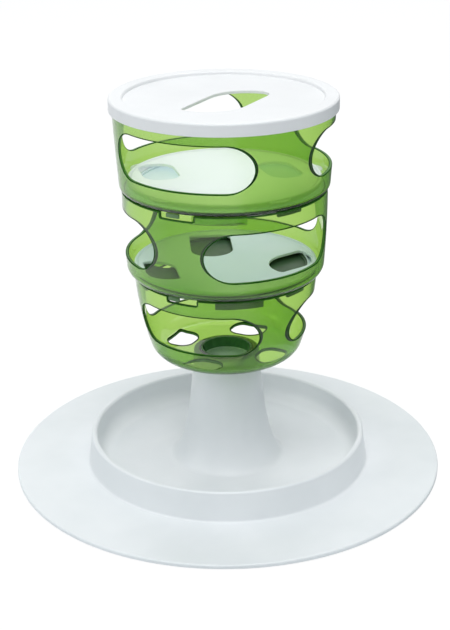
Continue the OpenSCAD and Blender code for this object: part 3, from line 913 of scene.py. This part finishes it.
def solid_plastic(name, low, high, gloss, through=0.0, mirror=0.25):
    """Opaque green plastic painted with the light and shade of clear plastic: painted shade at its cut edges,
    rim, tabs and well and under the plates, painted light on the well's bed.
    """
    m, tree, shader = new_material(name)
    mottle(tree, shader, low, high, scale=40.0)
    uneven_gloss(tree, shader, gloss - 0.06, gloss + 0.06, scale=90.0)
    grain(tree, shader, noise(tree, scale=900.0, detail=2.0), strength=0.08, distance=0.0002)
    shader.inputs["Specular IOR Level"].default_value = mirror
    if through:
        let_light_through(tree, shader, through)
    return m


def rubber(name, low, high):
    """Matt, dark and grainy."""
    m, tree, shader = new_material(name)
    mottle(tree, shader, low, high, scale=300.0)
    uneven_gloss(tree, shader, 0.6, 0.8, scale=150.0)
    grain(tree, shader, noise(tree, scale=900.0), strength=0.3, distance=0.0003)
    return m


WHITE = white_plastic("satin_white", (0.79, 0.815, 0.83), (0.84, 0.86, 0.875), 0.36)
LID_WHITE = white_plastic("lid_white", (0.775, 0.778, 0.785), (0.815, 0.818, 0.825), 0.34, through=1.0)
# Painted light: the upper plate is brighter and bluer than the other whites, as if neutral light reached it
# inside the green cup
PLATE_WHITE_LIT = white_plastic("plate_white_painted_light", (0.89, 0.93, 0.965), (0.92, 0.955, 0.985), 0.4, through=0.9)
# Painted shade: the same white as the upper plate, greener and darker as in green-tinted shade inside the
# middle cup
PLATE_WHITE_SHADED = white_plastic("plate_white_painted_shade", (0.79, 0.92, 0.93), (0.83, 0.945, 0.955), 0.4)
GREEN = green_plastic("clear_green")
# Painted shade: dark lines along the cut edges of the clear green plastic
GREEN_EDGE_SHADE = solid_plastic("cut_edge_painted_shade", (0.005, 0.050, 0.003), (0.012, 0.085, 0.008), 0.4, mirror=0.02)
# Painted shade: the rim's edge and the upper cup's seat on the rim below, dark as a seam in shade
GREEN_RIM_SHADE = solid_plastic("rim_painted_shade", (0.030, 0.100, 0.020), (0.045, 0.140, 0.030), 0.6, mirror=0.0)
# Painted shade: opaque dark green for clear tabs and lugs that lie in shade
TAB_SHADE = solid_plastic("tab_and_lug_painted_shade", (0.11, 0.20, 0.095), (0.14, 0.245, 0.115), 0.3)
# Painted shade: the middle cup's clear floor made dark, as shade shows through the plate's holes
MIDDLE_FLOOR_SHADE = solid_plastic("shaded_floor", (0.050, 0.10, 0.050), (0.065, 0.125, 0.065), 0.35, through=0.5)
# Partly painted shade: a pale opaque floor for the upper cup, darker than the plates' white, as a white layer
# in shade under the plate's holes
UPPER_FLOOR_PALE_SHADE = solid_plastic("pale_floor_painted_shade", (0.66, 0.77, 0.79), (0.72, 0.82, 0.85), 0.4, through=0.9)
# Painted shade: mid-tone green on the face of a cut
GREEN_CUT_SHADE = solid_plastic("cut_face_painted_shade", (0.05, 0.17, 0.02), (0.08, 0.24, 0.035), 0.35, mirror=0.1)
# Painted shade: dark green on the well's side and the ring round its mouth
WELL_SHADE = solid_plastic("well_painted_shade", (0.05, 0.17, 0.06), (0.08, 0.24, 0.09), 0.25)
# Painted light: pale green on the well's bed, as the lit white socket below would show through it
WELL_FLOOR_LIGHT = solid_plastic("well_floor_painted_light", (0.62, 0.85, 0.66), (0.72, 0.93, 0.76), 0.3)
RUBBER = rubber("pad_rubber", (0.035, 0.036, 0.038), (0.06, 0.061, 0.064))


# Pieces

def dress(name, shell, node, body, materials):
    """Makes a piece, puts it in a node's place and lets it ride on a body."""
    piece = shell.make(name, materials)
    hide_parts(node)
    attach(piece, body)


def cup_looks(floor, long, short):
    """The materials of a cup, in the order of its looks."""
    return [GREEN, GREEN_EDGE_SHADE, floor, long, GREEN_RIM_SHADE, short, GREEN_CUT_SHADE]


s = Shell()
base(s)
dress("base_tray_body", s, "base_tray", "base", [WHITE])

s = Shell()
cup(s, LOWER, LOWER_WINDOW, MIDDLE_TABS["notch"], LOWER_HOLES, plugged=True)
plug_lugs(s)
# The well's side in painted shade and its bed in painted light
dress("lower_cup_body", s, "lower_cup", "lower_tier",
      cup_looks(GREEN, WELL_SHADE, WELL_FLOOR_LIGHT))

s = Shell()
cup(s, MIDDLE, MIDDLE_WINDOW, UPPER_TABS["notch"], MIDDLE_FLOOR_HOLES, floor_mark=FLOOR)
guide(s, MIDDLE, MIDDLE_PLATE["foot"], MIDDLE_GUIDE)
hangers(s, MIDDLE, LOWER, MIDDLE_TABS)
# Floor, guide ring, tabs and lugs in painted shade
dress("middle_cup_body", s, "middle_cup", "middle_tier",
      cup_looks(MIDDLE_FLOOR_SHADE, TAB_SHADE, TAB_SHADE))

s = Shell()
cup(s, UPPER, UPPER_WINDOW, None, UPPER_FLOOR_HOLES, floor_mark=FLOOR, seat=UPPER_SEAT)
guide(s, UPPER, UPPER_PLATE["foot"], UPPER_GUIDE)
hangers(s, UPPER, MIDDLE, UPPER_TABS)
# Pale floor and guide ring partly in painted shade; short tabs and lugs in painted shade
dress("upper_cup_body", s, "upper_cup", "upper_tier",
      cup_looks(UPPER_FLOOR_PALE_SHADE, GREEN, TAB_SHADE))

s = Shell()
plate(s, MIDDLE, MIDDLE_PLATE, MIDDLE_HOLES)
dress("middle_plate_body", s, "middle_plate", "middle_disc", [PLATE_WHITE_SHADED])

s = Shell()
plate(s, UPPER, UPPER_PLATE, UPPER_HOLES)
dress("upper_plate_body", s, "upper_plate", "upper_disc", [PLATE_WHITE_LIT])

s = Shell()
lid(s)
dress("lid_body", s, "lid", "lid", [LID_WHITE])

for k in range(1, PADS + 1):
    low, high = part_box("foot_%d" % k)
    middle = [(a + b) / 2 / MM for a, b in zip(low, high)]
    s = Shell()
    pad(s, middle, (high[0] - low[0]) / 2 / MM, (high[2] - low[2]) / MM)
    dress("foot_%d_pad" % k, s, "foot_%d" % k, "base", [RUBBER])


# Stage, in metres

# The world as light; where it is seen it is plain white
WORLD = dict(strength=0.41, tint=(0.90, 0.99, 1.03))

# The floor: size, how far it lies under the object, colour, roughness, glow and the glow's share where seen
GROUND = dict(size=8, drop=0.0003, colour=(0.67, 0.70, 0.72), rough=0.9, glow=1.1, share=0.85)

# Dark cards at the right and in front: where each begins and is whole, along X or Y, and how dark it is
CARDS = [("X", 0.08, 0.22, 0.95), ("Y", -0.15, -0.30, 0.30)]

# Lamps: place, what they point at, size, power
LAMPS = dict(
    top=((0.0, -0.3, 2.2), (0, 0, 0.15), 1.6, 17),
    front=((0.0, -1.3, 1.7), (0, 0, 0.15), 1.4, 11),
    left=((-1.9, -0.5, 1.0), (0, 0, 0.2), 1.2, 7.5),
    right=((1.9, -0.5, 1.0), (0, 0, 0.2), 1.2, 1.5),
    back=((0.0, 1.2, 1.7), (0, 0, 0.15), 1.4, 6),
)

# Camera: height of its sensor and its lens, its right and up directions, and its place in millimetres
CAMERA = dict(sensor=36.0, lens=80.5, right=(0.99993, -0.00447, -0.01076), up=(0.01165, 0.38399, 0.92327),
              at=(-0.895, -1050.3, 565.36))


def seen_ray(tree):
    """1 for what the camera sees, straight, through clear plastic or mirrored; 0 for light on a surface."""
    path = tree.nodes.new("ShaderNodeLightPath")
    straight = maths(tree, "MAXIMUM", (path, "Is Camera Ray"), (path, "Is Transmission Ray"))
    return maths(tree, "MAXIMUM", (straight, "Value"), (path, "Is Glossy Ray"))


def white_world():
    """White where it is seen; as light it is dimmer and a little cool."""
    world = bpy.data.worlds.new("white")
    bpy.context.scene.world = world
    world.use_nodes = True
    tree = world.node_tree
    light = node_of(tree, "BACKGROUND")
    light.inputs["Color"].default_value = (*WORLD["tint"], 1)
    light.inputs["Strength"].default_value = WORLD["strength"]
    back = tree.nodes.new("ShaderNodeBackground")
    back.inputs["Color"].default_value = (1, 1, 1, 1)
    back.inputs["Strength"].default_value = 1.0
    mix_out(tree, seen_ray(tree), light, back, "OUTPUT_WORLD")


def carded(tree, strength):
    """The floor's glow, less the dark cards for mirrored rays only: they draw the outline of clear walls."""
    path = tree.nodes.new("ShaderNodeLightPath")
    where, split = tree.nodes.new("ShaderNodeTexCoord"), tree.nodes.new("ShaderNodeSeparateXYZ")
    link(tree, where, "Object", split, "Vector")
    cards = []
    for axis, near, far, share in CARDS:
        card = tree.nodes.new("ShaderNodeMapRange")
        card.inputs["From Min"].default_value = near
        card.inputs["From Max"].default_value = far
        card.inputs["To Max"].default_value = share
        link(tree, split, axis, card, "Value")
        cards.append((card, "Result"))
    dark = maths(tree, "MAXIMUM", *cards)
    turned_back = maths(tree, "MULTIPLY", (path, "Is Glossy Ray"), (path, "Is Reflection Ray"))
    mirrored = maths(tree, "MULTIPLY", (turned_back, "Value"), (dark, "Value"))
    return maths(tree, "MULTIPLY_ADD", (mirrored, "Value"), -strength, strength)


def ground():
    """A pale floor that keeps the object's shadow and glows where it is seen."""
    bpy.ops.mesh.primitive_plane_add(size=GROUND["size"], location=(0, 0, -GROUND["drop"]))
    piece = bpy.context.object
    piece.name = "floor"
    m, tree, shader = new_material("floor_white")
    shader.inputs["Base Color"].default_value = (*GROUND["colour"], 1)
    shader.inputs["Roughness"].default_value = GROUND["rough"]
    glow = tree.nodes.new("ShaderNodeEmission")
    glow.inputs["Color"].default_value = (1, 1, 1, 1)
    link(tree, carded(tree, GROUND["glow"]), "Value", glow, "Strength")
    share = maths(tree, "MULTIPLY", (seen_ray(tree), "Value"), GROUND["share"])
    mix_out(tree, share, shader, glow, "OUTPUT_MATERIAL")
    piece.data.materials.append(m)


def lamp(name, at, aim, size, power):
    """A square white lamp that points at a place."""
    data = bpy.data.lights.new(name, "AREA")
    data.size = size
    data.energy = power
    piece = bpy.data.objects.new(name, data)
    piece.location = at
    piece.rotation_euler = (Vector(aim) - Vector(at)).to_track_quat("-Z", "Y").to_euler()
    bpy.context.scene.collection.objects.link(piece)


def camera():
    """The camera that was fitted to the photograph."""
    data = bpy.data.cameras.new("camera")
    data.sensor_fit = "VERTICAL"
    data.sensor_height = CAMERA["sensor"]
    data.lens = CAMERA["lens"]
    piece = bpy.data.objects.new("camera", data)
    right, up = Vector(CAMERA["right"]), Vector(CAMERA["up"])
    m = Matrix((right, up, right.cross(up))).transposed().to_4x4()
    m.translation = Vector(CAMERA["at"]) * MM
    piece.matrix_world = m
    bpy.context.scene.collection.objects.link(piece)
    bpy.context.scene.camera = piece


bpy.context.scene.view_settings.view_transform = "Standard"
white_world()
ground()
for name, values in LAMPS.items():
    lamp(name, *values)
camera()
